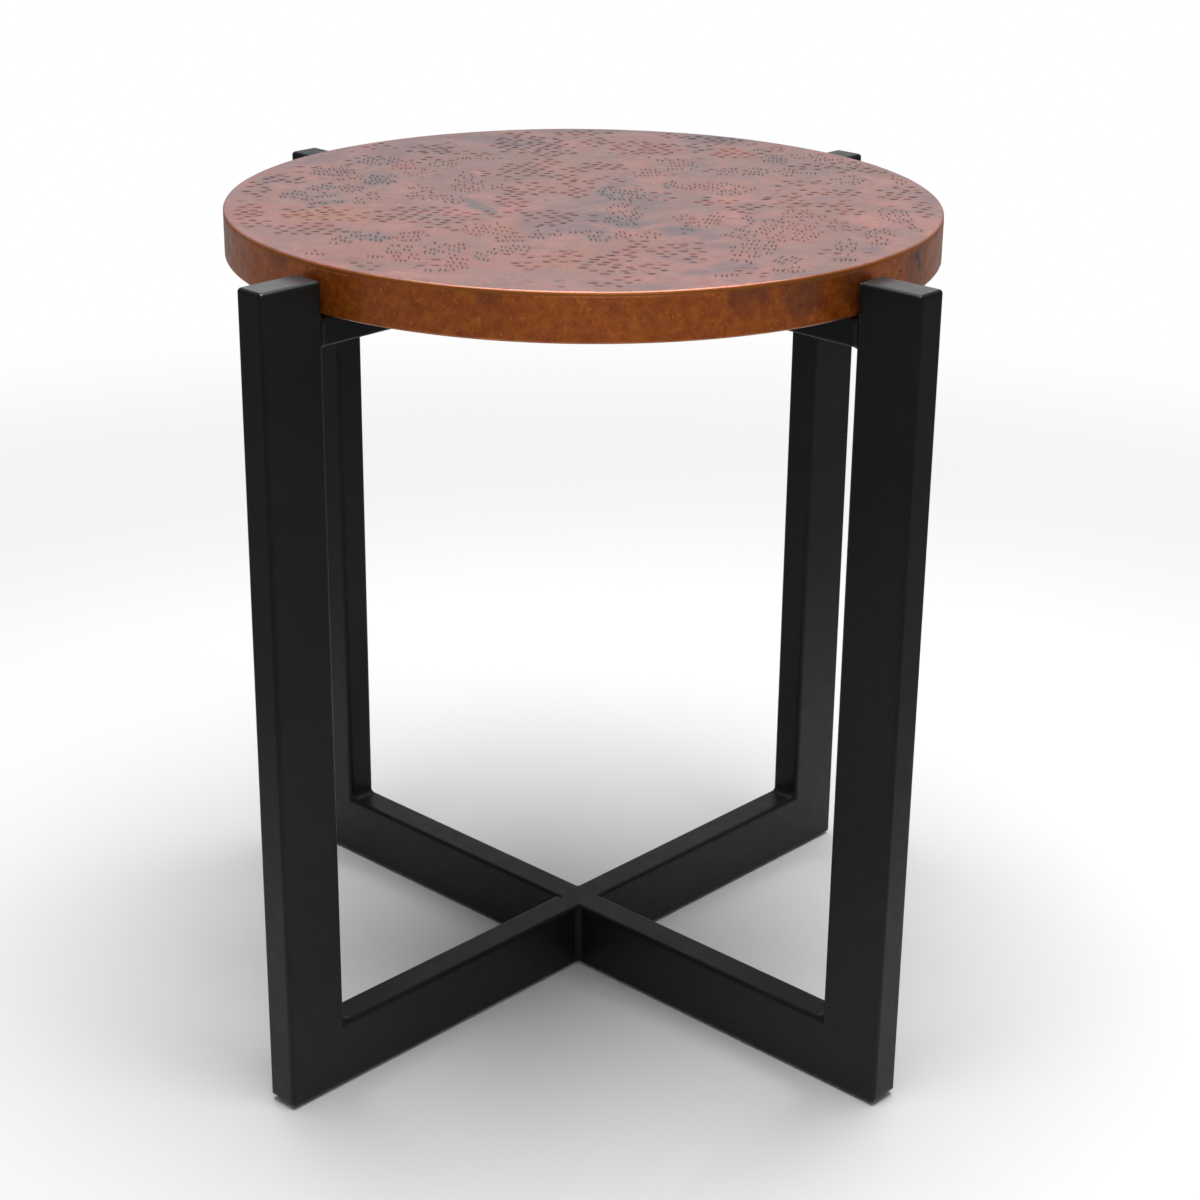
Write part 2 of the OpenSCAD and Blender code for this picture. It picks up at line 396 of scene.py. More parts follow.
def make_crossing_fillers(material):
    """Weld metal dressed flush where the half rails meet the long ones."""
    shell = Shell()
    for half, r, low, high in (
        (TUBE_T / 2, TUBE_R, FOOT_Z, LOWER_TOP),
        (RAIL_S / 2, RAIL_R, upper_low.z, upper_high.z),
    ):
        for way in (-1, 1):
            for z, up in ((high, 1), (low, -1)):
                rings = []
                end = half - 0.25 * r
                is_open = half == TUBE_T / 2 and way < 0 < up
                start = OPEN_SEAM - half if is_open else -end
                for i in range(SEAM_STEPS + 1):
                    x = start + (end - start) * i / SEAM_STEPS
                    past = max(abs(x) - (half - r), 0)
                    fall = r - math.sqrt(r * r - past * past)
                    rise = 0.02 * MM * (1 + noise.noise((x / (5 * MM), way * 9.0, z * 40))) - fall
                    wide = 2.4 * MM * (1 + 0.3 * noise.noise((x / (4 * MM), way * 5.0, z * 30)))
                    toe = -fall - 0.03 * MM
                    section = [
                        (half - r - wide, toe), (half - r, rise), (half - r * 0.5, rise), (half, rise),
                        (half + wide, toe), (half + wide * 0.3, -r), (half - r * 0.6, -r),
                    ]
                    rings.append(shell.loop([Vector((x, way * y, z + up * h)) for y, h in section]))
                shell.skins(rings)
                shell.lid(rings[0][::-1])
                shell.lid(rings[-1])
    turns = [math.pi * i / 8 for i in range(9)]
    ball = [(LUMP_R * math.sin(a), LOWER_TOP - 0.7 * MM - LUMP_R * math.cos(a)) for a in turns]
    lathe(shell, ball, (TUBE_T / 2 + 0.4 * MM, TUBE_T / 2 + 0.8 * MM), steps=16)
    make_steel("crossing_seams", shell, material, ["crossing_fillers"], sharp=60)


# ---------------------------------------------------------------- small round pieces

def lathe(shell, profile, centre, steps=48):
    """A closed solid of revolution about an upright line through centre.

    profile runs from the axis to the axis, as (radius, z) pairs.
    """
    turns = [math.tau * i / steps for i in range(steps)]
    rings = []
    for r, z in profile[1:-1]:
        ring = [Vector((centre[0] + r * math.cos(a), centre[1] + r * math.sin(a), z)) for a in turns]
        rings.append(shell.loop(ring))
    shell.skins(rings)
    for (_, z), ring, flip in ((profile[0], rings[0], 1), (profile[-1], rings[-1], -1)):
        tip = shell.loop([Vector((centre[0], centre[1], z))])[0]
        for i in range(steps):
            shell.faces.append((tip, ring[(i + 1) % steps], ring[i])[::flip])


def pad_profile(radius, low, high, round_r):
    """Profile of a disc with rounded edges."""
    arc = [i / 4 * math.pi / 2 for i in range(5)]
    lower = [(radius - round_r * (1 - math.sin(a)), low + round_r * (1 - math.cos(a))) for a in arc]
    upper = [(r, low + high - z) for r, z in reversed(lower)]
    return [(0, low), (radius * 0.6, low), *lower, *upper, (radius * 0.6, high), (0, high)]


def make_pads(foot_material, felt):
    """Pads under the feet, and felt dots on the top rails."""
    radius = (foot_pad_high.x - foot_pad_low.x) / 2
    for side, degrees in SIDES.items():
        shell = Shell()
        at = turned(((foot_pad_low.x + foot_pad_high.x) / 2, 0, 0), degrees)
        lathe(shell, pad_profile(radius, foot_pad_low.z, foot_pad_high.z, 0.5 * MM), at)
        make_piece(f"{side}_foot_pad", shell, "base", foot_material, [f"foot_pad_{side}"])
    shell = Shell()
    dot_at = 0.79 * TRAY_R
    dot_r = rest_pads_high.x - dot_at
    for degrees in SIDES.values():
        at = turned((dot_at, 0, 0), degrees)
        lathe(shell, pad_profile(dot_r, upper_high.z, rest_pads_high.z, 0.35 * MM), at)
    make_piece("felt_dots", shell, "base", felt, ["rest_pads"])


TACKS = 12


def make_tacks(material):
    """Domed tacks through the lip of the band."""
    tack_low, tack_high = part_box("lip_tacks")
    ring_r = LIP_IN + LIP_W / 2
    shell = Shell()
    dome = [(0, tack_low.z), (1.2 * MM, tack_low.z + 0.08 * MM), (2.2 * MM, tack_low.z + 0.34 * MM),
            (2.8 * MM, tack_low.z + 0.72 * MM), (3 * MM, TRAY_Z), (0.8 * MM, TRAY_Z + 0.1 * MM),
            (0.8 * MM, tack_high.z - 3 * MM), (0.3 * MM, tack_high.z - 0.3 * MM), (0, tack_high.z)]
    for i in range(TACKS):
        a = math.tau * (i + 0.5) / TACKS
        lathe(shell, dome, (ring_r * math.cos(a), ring_r * math.sin(a)), steps=20)
    make_piece("copper_tacks", shell, "tray", material, ["lip_tacks"])


# ---------------------------------------------------------------- hammered copper

RIM_STEPS = 600
FLAT_R = TRAY_R - EDGE_R


def top_height(x, y):
    """Gentle hand-worked unevenness of the flat of the tray, in metres."""
    broad = noise.noise((x * 9, y * 9, 3.1))
    fine = noise.noise((x * 28, y * 28, 7.7))
    return (0.22 * broad + 0.10 * fine - 0.12) * MM


def rim_wobble(angle, z=0.0):
    """How far the rim stands in or out of its true circle, in metres."""
    x, y = math.cos(angle), math.sin(angle)
    broad = noise.noise((x * 2.2, y * 2.2, 5.0))
    blows = noise.noise((x * 14, y * 14, z * 70))
    return (0.20 * broad + 0.16 * blows) * MM


# The way the hammer's peen lay, anticlockwise from +X. Across and along are measured from it below.
GRAIN = math.radians(133)

# Clusters of marks from a fine peen: (across, along, half width, half length, lean, tint), in millimetres
# and degrees.
# The tint is 0 for orange, through 0.25 rust red, 0.5 brown and 0.75 mauve, to 1 for slate.
FINE = (
    (-188, 82, 20, 17, -12, 0.70), (-172, 62, 12, 15, -15, 0.45), (-150, 58, 13, 17, -15, 0.90),
    (-189, 27, 13, 11, -8, 0.72), (-208, 6, 10, 11, -15, 0.80), (-199, -10, 10, 9, -10, 0.75),
    (-189, -22, 7, 6, -8, 0.95), (-183, 1, 8, 11, -15, 0.70), (-169, 26, 9, 12, -15, 0.65),
    (-150, 4, 6, 12, -18, 0.40), (-159, -14, 6, 10, -12, 0.45), (-173, -17, 7, 6, -5, 0.80),
    (-155, 120, 17, 14, 0, 0.75), (-138, 107, 10, 18, -4, 0.30), (-125, 86, 14, 13, -8, 0.28),
    (-117, 31, 10, 11, -20, 0.35), (-112, 6, 13, 13, -25, 0.40), (-93, -5, 9, 13, -8, 0.50),
    (-84, 40, 13, 24, -5, 0.33), (-87, 77, 6, 14, -5, 0.75), (-63, 38, 5, 9, -3, 0.80),
    (-84, 135, 15, 7, -3, 0.50), (-107, 112, 9, 10, 0, 0.48), (-65, -92, 17, 17, -10, 0.15),
    (-48, -115, 13, 14, -12, 0.35), (-25, -106, 12, 11, -12, 0.75), (-4, -99, 11, 9, -8, 0.72),
    (11, -110, 7, 19, -8, 0.90), (26, -108, 7, 13, -5, 0.35), (46, -106, 9, 10, -3, 0.35),
    (-62, -166, 7, 19, 5, 0.50), (-43, -148, 13, 11, -10, 0.42), (-78, -186, 9, 19, -12, 0.25),
    (-90, -148, 14, 16, -3, 0.42), (-113, -116, 12, 16, 0, 0.30), (-117, -162, 11, 28, -12, 0.22),
    (-148, -116, 8, 12, -5, 0.70), (-135, -118, 8, 12, -8, 0.98), (-160, -130, 9, 14, -5, 0.50),
    (-175, -166, 7, 11, -12, 0.25), (-135, -172, 7, 8, -5, 0.20), (-92, -205, 12, 9, 0, 0.35),
    (28, 20, 17, 21, -12, 0.95), (30, -33, 13, 27, -8, 0.88), (27, -64, 13, 13, -15, 0.95),
    (46, 91, 14, 14, -5, 0.38), (68, 116, 8, 18, -3, 0.30), (80, 118, 4, 12, 3, 0.78),
    (64, 137, 11, 6, -5, 0.55), (48, 146, 5, 6, -5, 0.55), (90, 46, 26, 15, 3, 0.33),
    (102, 25, 13, 9, 3, 0.45), (120, 37, 4, 8, 3, 0.50), (62, 50, 5, 14, 8, 0.70),
    (180, 153, 21, 13, 8, 0.48), (146, 146, 13, 17, 4, 0.80), (104, 99, 10, 14, 15, 0.72),
    (127, 99, 10, 16, 12, 0.60), (151, 98, 11, 14, 8, 0.50), (168, 95, 5, 8, 8, 0.55),
    (133, 180, 5, 9, 5, 0.72), (148, 184, 5, 9, 3, 0.60), (195, 76, 13, 14, 5, 0.55),
    (234, 84, 8, 22, 5, 0.50), (217, -38, 11, 23, -3, 0.58), (227, -74, 6, 10, -3, 0.60),
    (201, -97, 10, 18, 3, 0.52), (175, -131, 8, 21, 3, 0.62), (196, -122, 7, 8, 3, 0.80),
    (172, -165, 8, 9, 8, 0.65), (149, -37, 12, 21, -15, 0.35), (171, -64, 11, 22, -20, 0.35),
    (71, -58, 9, 19, -15, 0.30), (89, -58, 9, 21, 12, 0.45), (114, -56, 5, 13, -5, 0.80),
    (131, -57, 9, 7, -3, 0.72), (140, -90, 21, 29, -4, 0.18), (107, -98, 13, 15, 15, 0.60),
    (114, -138, 16, 27, 12, 0.45), (134, -168, 9, 11, 25, 0.62), (104, -172, 7, 8, 8, 0.85),
    (136, -196, 14, 9, 5, 0.45), (71, -88, 8, 11, -3, 0.95), (93, -210, 9, 9, 5, 0.60),
)

# Clusters of broader, softer marks that lie across the grain, given the same way but without a lean.
BROAD = (
    (-120, 166, 19, 20, 0.80), (-112, 128, 13, 12, 0.50), (-48, 190, 32, 31, 0.80), (-3, 236, 22, 9, 0.78),
    (-42, 228, 22, 10, 0.85), (-20, 171, 14, 16, 0.68), (8, 200, 11, 18, 0.55), (47, 181, 28, 26, 0.30),
    (70, 228, 13, 11, 0.68), (104, 219, 24, 22, 0.90), (113, 165, 17, 18, 0.15), (146, 208, 17, 13, 0.72),
    (172, 188, 14, 11, 0.80), (84, 182, 7, 14, 0.70), (141, 51, 8, 6, 0.98), (152, 60, 8, 9, 0.28),
    (205, 122, 36, 26, 0.62), (228, 26, 16, 26, 0.52), (177, 32, 26, 12, 0.40), (170, -5, 23, 13, 0.35),
    (150, 12, 11, 14, 0.50), (184, -29, 13, 13, 0.35), (91, -6, 16, 11, 0.33), (112, -19, 15, 13, 0.55),
    (88, 10, 9, 7, 0.60), (133, 15, 10, 9, 0.75), (-48, 30, 20, 24, 0.36), (-52, -9, 15, 18, 0.25),
    (-46, -35, 10, 9, 0.75), (-5, 36, 15, 28, 0.28), (-22, -58, 20, 23, 0.65), (2, -58, 8, 12, 0.85),
    (48, -130, 19, 12, 0.30), (56, -148, 13, 15, 0.55), (68, -169, 13, 10, 0.75), (14, -187, 18, 24, 0.45),
    (34, -152, 11, 15, 0.35), (48, -192, 12, 15, 0.50), (-12, -166, 14, 20, 0.12), (-38, -178, 14, 22, 0.20),
    (-106, -53, 27, 31, 0.50), (-176, -57, 33, 20, 0.08), (-234, -50, 13, 24, 0.22), (-186, -97, 24, 19, 0.32),
    (-166, -98, 9, 14, 0.72), (-236, 20, 11, 28, 0.65), (-222, 54, 15, 16, 0.80), (-46, 92, 22, 32, 0.50),
    (-15, 86, 15, 24, 0.25), (-31, 126, 17, 15, 0.25), (13, 111, 18, 14, 0.45), (76, -140, 9, 20, 0.45),
    (-30, 155, 26, 10, 0.60), (240, -20, 8, 22, 0.70), (165, 118, 12, 10, 0.65), (-140, -60, 8, 20, 0.35),
)

# Clouds of patina between the marks: (across, along, half width, half length, turn, tint, strength).
CLOUDS = (
    (-190, 10, 62, 130, 0, 0.30, 0.45), (-150, -150, 60, 60, 0, 0.15, 0.35), (-10, -165, 90, 50, 0, 0.08, 0.40),
    (-20, 150, 120, 90, 0, 0.55, 0.45), (190, 20, 60, 130, 0, 0.72, 0.35), (110, -130, 60, 60, 0, 0.45, 0.25),
    (-150, 150, 90, 60, 30, 0.80, 0.40), (150, 170, 80, 50, -30, 0.80, 0.35), (20, -30, 50, 60, 0, 0.85, 0.30),
    (-77, -18, 7, 40, -28, 1.00, 0.8), (24, 58, 14, 24, 0, 0.80, 0.7), (8, 15, 13, 26, 0, 0.80, 0.6),
    (46, 8, 12, 22, 0, 0.95, 0.6), (-38, -76, 5, 32, 0, 0.95, 0.7), (-12, -88, 26, 12, 0, 0.90, 0.7),
    (31, -72, 14, 14, 0, 1.00, 0.8), (8, -50, 12, 14, 0, 0.95, 0.6), (68, -88, 15, 11, 0, 1.00, 0.9),
    (62, -101, 14, 6, 0, 0.85, 0.7), (87, -110, 8, 9, 0, 0.98, 0.8), (94, -133, 12, 7, 25, 1.00, 0.8),
    (98, -188, 15, 15, 20, 1.00, 0.9), (75, -206, 10, 9, 0, 0.98, 0.7), (66, -170, 11, 7, 0, 0.90, 0.7),
    (-13, -228, 4, 4, 0, 1.00, 0.9), (192, -138, 6, 11, 0, 1.00, 0.7), (-147, 163, 14, 24, 0, 1.00, 0.7),
    (104, 224, 30, 20, -20, 1.00, 0.7), (-85, 213, 36, 14, 25, 0.97, 0.7), (-195, 130, 16, 34, 40, 0.95, 0.6),
    (10, 245, 70, 9, 0, 0.97, 0.7), (-155, 62, 16, 22, 0, 0.95, 0.5), (-185, 8, 12, 20, 0, 0.90, 0.5),
    (-112, 58, 14, 14, 0, 0.85, 0.5), (-180, -56, 36, 24, 0, 0.00, 0.9), (-62, -92, 22, 20, 0, 0.05, 0.8),
    (142, -96, 24, 30, 0, 0.12, 0.6), (-12, -166, 18, 22, 0, 0.08, 0.7), (-40, -192, 18, 16, 0, 0.15, 0.8),
    (112, 164, 20, 20, 0, 0.08, 0.7), (50, 180, 30, 26, 0, 0.15, 0.5), (86, 44, 26, 20, 0, 0.20, 0.5),
    (40, -128, 16, 14, 0, 0.10, 0.5), (-190, -126, 14, 22, 0, 0.62, 0.7), (-150, 34, 14, 13, 0, 0.62, 0.6),
    (-143, -172, 26, 15, 0, 0.35, 0.7), (-62, 152, 8, 15, 0, 0.40, 0.7), (-238, -50, 12, 30, 0, 0.25, 0.8),
    (-130, 88, 20, 18, 0, 0.25, 0.6), (246, 30, 10, 46, 0, 0.70, 0.6), (216, 108, 12, 18, 0, 0.45, 0.5),
    (-4, 38, 14, 30, 0, 0.22, 0.5), (-22, -58, 20, 22, 0, 0.55, 0.7), (118, -20, 12, 22, 0, 0.75, 0.4),
    (76, 5, 14, 22, 0, 0.55, 0.5), (-70, -142, 10, 18, 0, 0.70, 0.5), (155, -45, 20, 24, 0, 0.25, 0.4),
)


def on_grain(across, along):
    """A place given across and along the grain, in millimetres, as x and y."""
    s, c = math.sin(GRAIN), math.cos(GRAIN)
    return (across * s + along * c) * MM, (along * s - across * c) * MM


# The length, width, depth and step along the row of the marks from each peen.
FINE_PEEN = (9.4 * MM, 1.65 * MM, 0.27 * MM, 10.4 * MM)
BROAD_PEEN = (7.6 * MM, 4.2 * MM, 0.42 * MM, 10.4 * MM)
FILLER_PEEN = (7.2 * MM, 3.8 * MM, 0.35 * MM, 10.8 * MM)
FILLERS, STRAYS = 45, 150


class Marks:
    """Dents left by the hammer: (x, y, angle, length, width, depth, stain, tint) each."""

    CELL = 12 * MM

    def __init__(self):
        self.rng = random.Random(SEED)
        self.marks = []
        self.near = {}

    def cell(self, x, y):
        return int(x // self.CELL), int(y // self.CELL)

    def neighbours(self, x, y):
        i, j = self.cell(x, y)
        for a in (i - 1, i, i + 1):
            for b in (j - 1, j, j + 1):
                yield from self.near.get((a, b), ())

    def clear(self, points, gap):
        """True if no point is within gap of a mark already made."""
        return all(
            math.hypot(px - x, py - y) > gap + half
            for px, py in points
            for x, y, half in self.neighbours(px, py)
        )

    def add(self, x, y, angle, length, width, depth, stain, tint):
        """Makes one mark unless it would run into another or over the edge."""
        c, s = math.cos(angle), math.sin(angle)
        reach = (length - width) / 2
        spine = [(x + c * reach * i / 4, y + s * reach * i / 4) for i in range(-4, 5)]
        if math.hypot(x, y) > FLAT_R - 2.5 * MM - length / 2 or not self.clear(spine, width / 2 + 0.25 * MM):
            return
        self.marks.append((x, y, angle, length, width, depth, stain, tint))
        for p in spine:
            self.near.setdefault(self.cell(*p), []).append((*p, width / 2))

    def cluster(self, centre, angle, half_long, half_wide, peen, pitch, slip, tint, dropped):
        """Rows of parallel marks inside an ellipse.

        angle is the direction of the marks and their rows, and each row is shifted from the last by slip times
        a step. peen is the (length, width, depth, step) of the marks, and pitch is the distance between rows.
        """
        length, width, depth, step = peen
        rng = self.rng
        c, s = math.cos(angle), math.sin(angle)
        rows = int(half_wide / pitch + 0.5)
        cols = int(half_long / step) + 1
        for row in range(-rows, rows + 1):
            for col in range(-cols, cols + 1):
                u = (col + slip * row) * step
                u = (u + half_long) % (2 * cols * step) - half_long + rng.gauss(0, step * 0.08)
                w = row * pitch + rng.gauss(0, pitch * 0.12)
                ragged = 1.05 + rng.uniform(-0.3, 0.25)
                if (u / half_long) ** 2 + (w / half_wide) ** 2 > ragged or rng.random() < dropped:
                    continue
                self.add(
                    centre[0] + c * u - s * w,
                    centre[1] + s * u + c * w,
                    angle + rng.gauss(0, 0.09),
                    length * rng.uniform(0.72, 1.12),
                    width * rng.uniform(0.85, 1.15),
                    depth * rng.uniform(0.7, 1.25),
                    rng.uniform(0.65, 1.0),
                    min(max(tint + rng.gauss(0, 0.06), 0), 1),
                )

    def hammer(self):
        """All the clusters, then single stray marks between them."""
        rng = self.rng
        across_grain = GRAIN - math.pi / 2
        for across, along, wide, long, lean, tint in FINE:
            angle = GRAIN - math.radians(lean)
            slip = rng.uniform(-0.1, 0.4)
            self.cluster(
                on_grain(across, along), angle, long * MM, wide * MM, FINE_PEEN, 3.2 * MM, slip, tint, 0.07,
            )
        for across, along, wide, long, tint in BROAD:
            slip = rng.uniform(0.3, 0.6)
            self.cluster(
                on_grain(across, along), across_grain, wide * MM, long * MM, BROAD_PEEN, 7.4 * MM, slip,
                tint, 0.14,
            )
        for _ in range(FILLERS):
            r, a = FLAT_R * math.sqrt(rng.random()), rng.uniform(0, math.tau)
            half_long, half_wide = rng.uniform(9, 18) * MM, rng.uniform(9, 18) * MM
            tint = rng.uniform(0.3, 0.8)
            self.cluster(
                (r * math.cos(a), r * math.sin(a)), across_grain, half_long, half_wide, FILLER_PEEN,
                7.8 * MM, 0.45, tint, 0.3,
            )
        for _ in range(STRAYS):
            r, a = FLAT_R * math.sqrt(rng.random()), rng.uniform(0, math.tau)
            self.add(
                r * math.cos(a), r * math.sin(a), across_grain + rng.gauss(0, 0.3),
                rng.uniform(5, 7) * MM, rng.uniform(2.2, 3.0) * MM, rng.uniform(0.12, 0.2) * MM,
                rng.uniform(0.4, 0.9), rng.uniform(0.3, 0.8),
            )


def patina(x, y):
    """Strength and tint of the patina at a place on the tray."""
    s, c = math.sin(GRAIN), math.cos(GRAIN)
    across, along = (x * s - y * c) / MM, (x * c + y * s) / MM
    total, tinted, clear = 0.0, 0.0, 1.0

    def add(dx, dy, wide, long, tint, strength):
        nonlocal total, tinted, clear
        far = (dx / wide) ** 2 + (dy / long) ** 2
        if far < 2.6:
            weight = strength * math.exp(-1.1 * far * far / (0.6 + far))
            total += weight
            tinted += weight * tint
            clear *= 1 - min(weight, 0.98)

    for u, v, wide, long, turn, tint, strength in CLOUDS:
        a = math.radians(turn)
        dx, dy = across - u, along - v
        c, s = math.cos(a), math.sin(a)
        add(dx * c - dy * s, dx * s + dy * c, wide, long, tint, strength)
    for u, v, wide, long, _, tint in FINE:
        add(across - u, along - v, wide, long, tint, 0.30)
    for u, v, wide, long, tint in BROAD:
        add(across - u, along - v, wide, long, tint, 0.22)
    return 1 - clear, (tinted / total if total else 0.5)


# The rings of one mark, from its brim inwards: share of its size, points, share of its depth and its paint.
MARK_RINGS = ((1.0, 12, 0.0, 0.05), (0.80, 12, 0.32, 0.85), (0.45, 6, 0.88, 1.0))


def mark_rings(mark):
    """The mesh points of one mark, ring by ring: (x, y, drop, darkness)."""
    x, y, angle, length, width, depth, stain, _ = mark
    c, s = math.cos(angle), math.sin(angle)

    def point(u, v, drop, dark):
        return x + c * u - s * v, y + s * u + c * v, drop * depth, dark

    for share, count, drop, dark in MARK_RINGS:
        ring = []
        for i in range(count):
            a = math.tau * (i + 0.5) / count
            ragged = noise.noise((x * 900 + 2 * math.cos(a), y * 900 + 2 * math.sin(a), 0.5))
            size = share * (0.46 + 0.05 * ragged)
            u = math.copysign(abs(math.cos(a)) ** 0.8, math.cos(a)) * size * length
            v = math.copysign(abs(math.sin(a)) ** 0.8, math.sin(a)) * size * width
            ring.append(point(u, v, drop, dark * stain))
        yield ring
    yield [point(u * length, 0, 1.0, stain) for u in (-0.12, 0, 0.12)]


def make_top_sheet(material):
    """Copper top sheet: hammered flat, rolled edge and skirt, closed underneath."""
    marks = Marks()
    marks.hammer()
    rng = random.Random(SEED + 4)
    flat, heights, paint = [], [], []

    def put(x, y, drop=0.0, dark=0.0, tint=None):
        strength, around = patina(x, y)
        flat.append(Vector((x, y)))
        heights.append(TOP_Z + top_height(x, y) - drop)
        paint.append((dark, strength, around if tint is None else tint, 0))

    angles = [math.tau * i / RIM_STEPS for i in range(RIM_STEPS)]
    for inset in (0, 1.2 * MM):
        for a in angles:
            put((FLAT_R - inset) * math.cos(a), (FLAT_R - inset) * math.sin(a))
    edges = []
    for mark in marks.marks:
        for ring in mark_rings(mark):
            first = len(flat)
            for x, y, drop, dark in ring:
                put(x, y, drop, dark, mark[-1])
            last = len(flat) - 1
            edges.extend((i, i + 1) for i in range(first, last))
            if len(ring) > 3:
                edges.append((last, first))
    pitch = 4.2 * MM
    reach = int(FLAT_R / pitch) + 1
    for i in range(-reach, reach + 1):
        for j in range(-reach, reach + 1):
            x = (i + (0.5 if j % 2 else 0) + rng.uniform(-0.2, 0.2)) * pitch
            y = (j * 0.87 + rng.uniform(-0.2, 0.2)) * pitch
            if math.hypot(x, y) < FLAT_R - 3 * MM and marks.clear([(x, y)], 1.4 * MM):
                put(x, y)

    points, _, faces, origins, _, _ = delaunay_2d_cdt(flat, edges, [], 0, 1e-7, True)
    source = [o[0] for o in origins]
    shell = Shell()
    shell.loop([Vector((p.x, p.y, heights[k])) for p, k in zip(points, source)], [paint[k] for k in source])
    shell.faces.extend(tuple(f) for f in faces)
    where = {k: i for i, k in enumerate(source)}
    border = [where[i] for i in range(RIM_STEPS)]

    def ring(radius, z, follow=0.0, roll=1.0):
        made = []
        for a in angles:
            r = radius + rim_wobble(a) * follow
            lift = top_height(FLAT_R * math.cos(a), FLAT_R * math.sin(a)) * follow
            made.append(Vector((r * math.cos(a), r * math.sin(a), z + lift)))
        return shell.loop(made, (0, 0, 0.5, roll))

    rings = [border]
    for i in range(1, 7):
        a = i / 6 * math.pi / 2
        rings.append(ring(FLAT_R + EDGE_R * math.sin(a), TOP_Z - EDGE_R * (1 - math.cos(a)), 1.0, i / 6))
    rings.append(ring(TRAY_R, SEAM_Z + 0.4 * MM, 1.0))
    rings.append(ring(TRAY_R - 0.12 * MM, SEAM_Z, 1.0))
    rings.append(ring(TRAY_R - COPPER, SEAM_Z))
    rings.append(ring(TRAY_R - COPPER, TOP_Z - EDGE_R))
    rings.append(ring(FLAT_R, TOP_Z - COPPER))
    shell.skins(rings)
    shell.lid(rings[-1])
    make_piece("hammered_copper_top", shell, "tray", material, ["tray_top_sheet"], sharp=60)


SPOT_GROUPS = 10


def rim_spots():
    """Dark spots on the band, in small groups, each given like a cloud of haze below."""
    rng = random.Random(SEED + 5)
    spots = []
    for _ in range(SPOT_GROUPS):
        angle, up = rng.uniform(0, 360), rng.uniform(9, 30)
        for _ in range(rng.randint(1, 3)):
            spots.append((angle + rng.gauss(0, 1.5), up + rng.gauss(0, 3), rng.uniform(1.4, 5.5)))
    return spots


# Brown haze on the band: (angle anticlockwise from +X, height above the lip, radius), in degrees and mm.
RIM_CLOUDS = (
    (338, 32, 20), (347, 27, 24), (357, 24, 22), (262, 30, 14), (300, 30, 12), (236, 20, 26),
    (15, 20, 30), (60, 26, 20), (100, 12, 18), (150, 24, 26), (196, 14, 20), (214, 30, 14),
)


def rim_spot(angle, z, spots):
    """How far a place on the band is inside the nearest of the spots, from 0 to 1."""
    dark = 0.0
    for degrees, up, radius in spots:
        off = (angle - math.radians(degrees) + math.pi) % math.tau - math.pi
        far = math.hypot(off * TRAY_R / MM, (z - TRAY_Z) / MM - up) / radius
        dark = max(dark, 1 - far * far)
    return dark


def make_rim_band(material):
    """Copper band round the side, rolled under into a puckered lip."""
    shell = Shell()
    angles = [math.tau * i / RIM_STEPS for i in range(RIM_STEPS)]
    spots = rim_spots()

    def ring(radius, z, follow=0.0, pucker=0.0, edge=0.0):
        made = []
        for a in angles:
            x, y = math.cos(a), math.sin(a)
            r = radius + rim_wobble(a, z if follow < 1 else 0.0) * min(follow, 1)
            r += 0.10 * MM * follow * noise.noise((x * 38, y * 38, z * 160))
            fold = pucker * noise.noise((x * 26, y * 26, 2.0)) * 0.5 * MM
            made.append(Vector((r * x, r * y, z + fold)))
        return shell.loop(made, [
            (rim_spot(a, z, spots), edge, rim_spot(a, z, RIM_CLOUDS), 0) for a in angles
        ])

    rings = [
        ring(TRAY_R - 0.12 * MM, SEAM_Z, 1.0),
        # edge 0.5 paints a highlight just under the seam, along the band's top edge
        ring(TRAY_R - 0.02 * MM, SEAM_Z - 0.3 * MM, 1.0, edge=0.5),
    ]
    low = TRAY_Z + EDGE_R
    for i in range(1, 21):
        rings.append(ring(TRAY_R, SEAM_Z - 0.3 * MM + (low - SEAM_Z) * i / 20, 1.0))
    for i in range(1, 7):
        a = i / 6 * math.pi / 2
        # edge paints a highlight, strongest halfway round the rolled-under corner
        edge = math.sin(2 * a) if i < 6 else 0
        rings.append(ring(FLAT_R + EDGE_R * math.cos(a), low - EDGE_R * math.sin(a), math.cos(a), edge=edge))
    for i in range(1, 6):
        rings.append(ring(FLAT_R + (LIP_IN - FLAT_R) * i / 5, TRAY_Z + 0.1 * MM, pucker=i / 5))
    rings.append(ring(LIP_IN, TRAY_Z + COPPER))
    rings.append(ring(FLAT_R, TRAY_Z + COPPER))
    rings.append(ring(TRAY_R - COPPER, low))
    rings.append(ring(TRAY_R - COPPER, SEAM_Z))
    shell.skins(rings, closed=True)
    make_piece("copper_rim_band", shell, "tray", material, ["tray_rim_band"], sharp=60)


# ---------------------------------------------------------------- materials

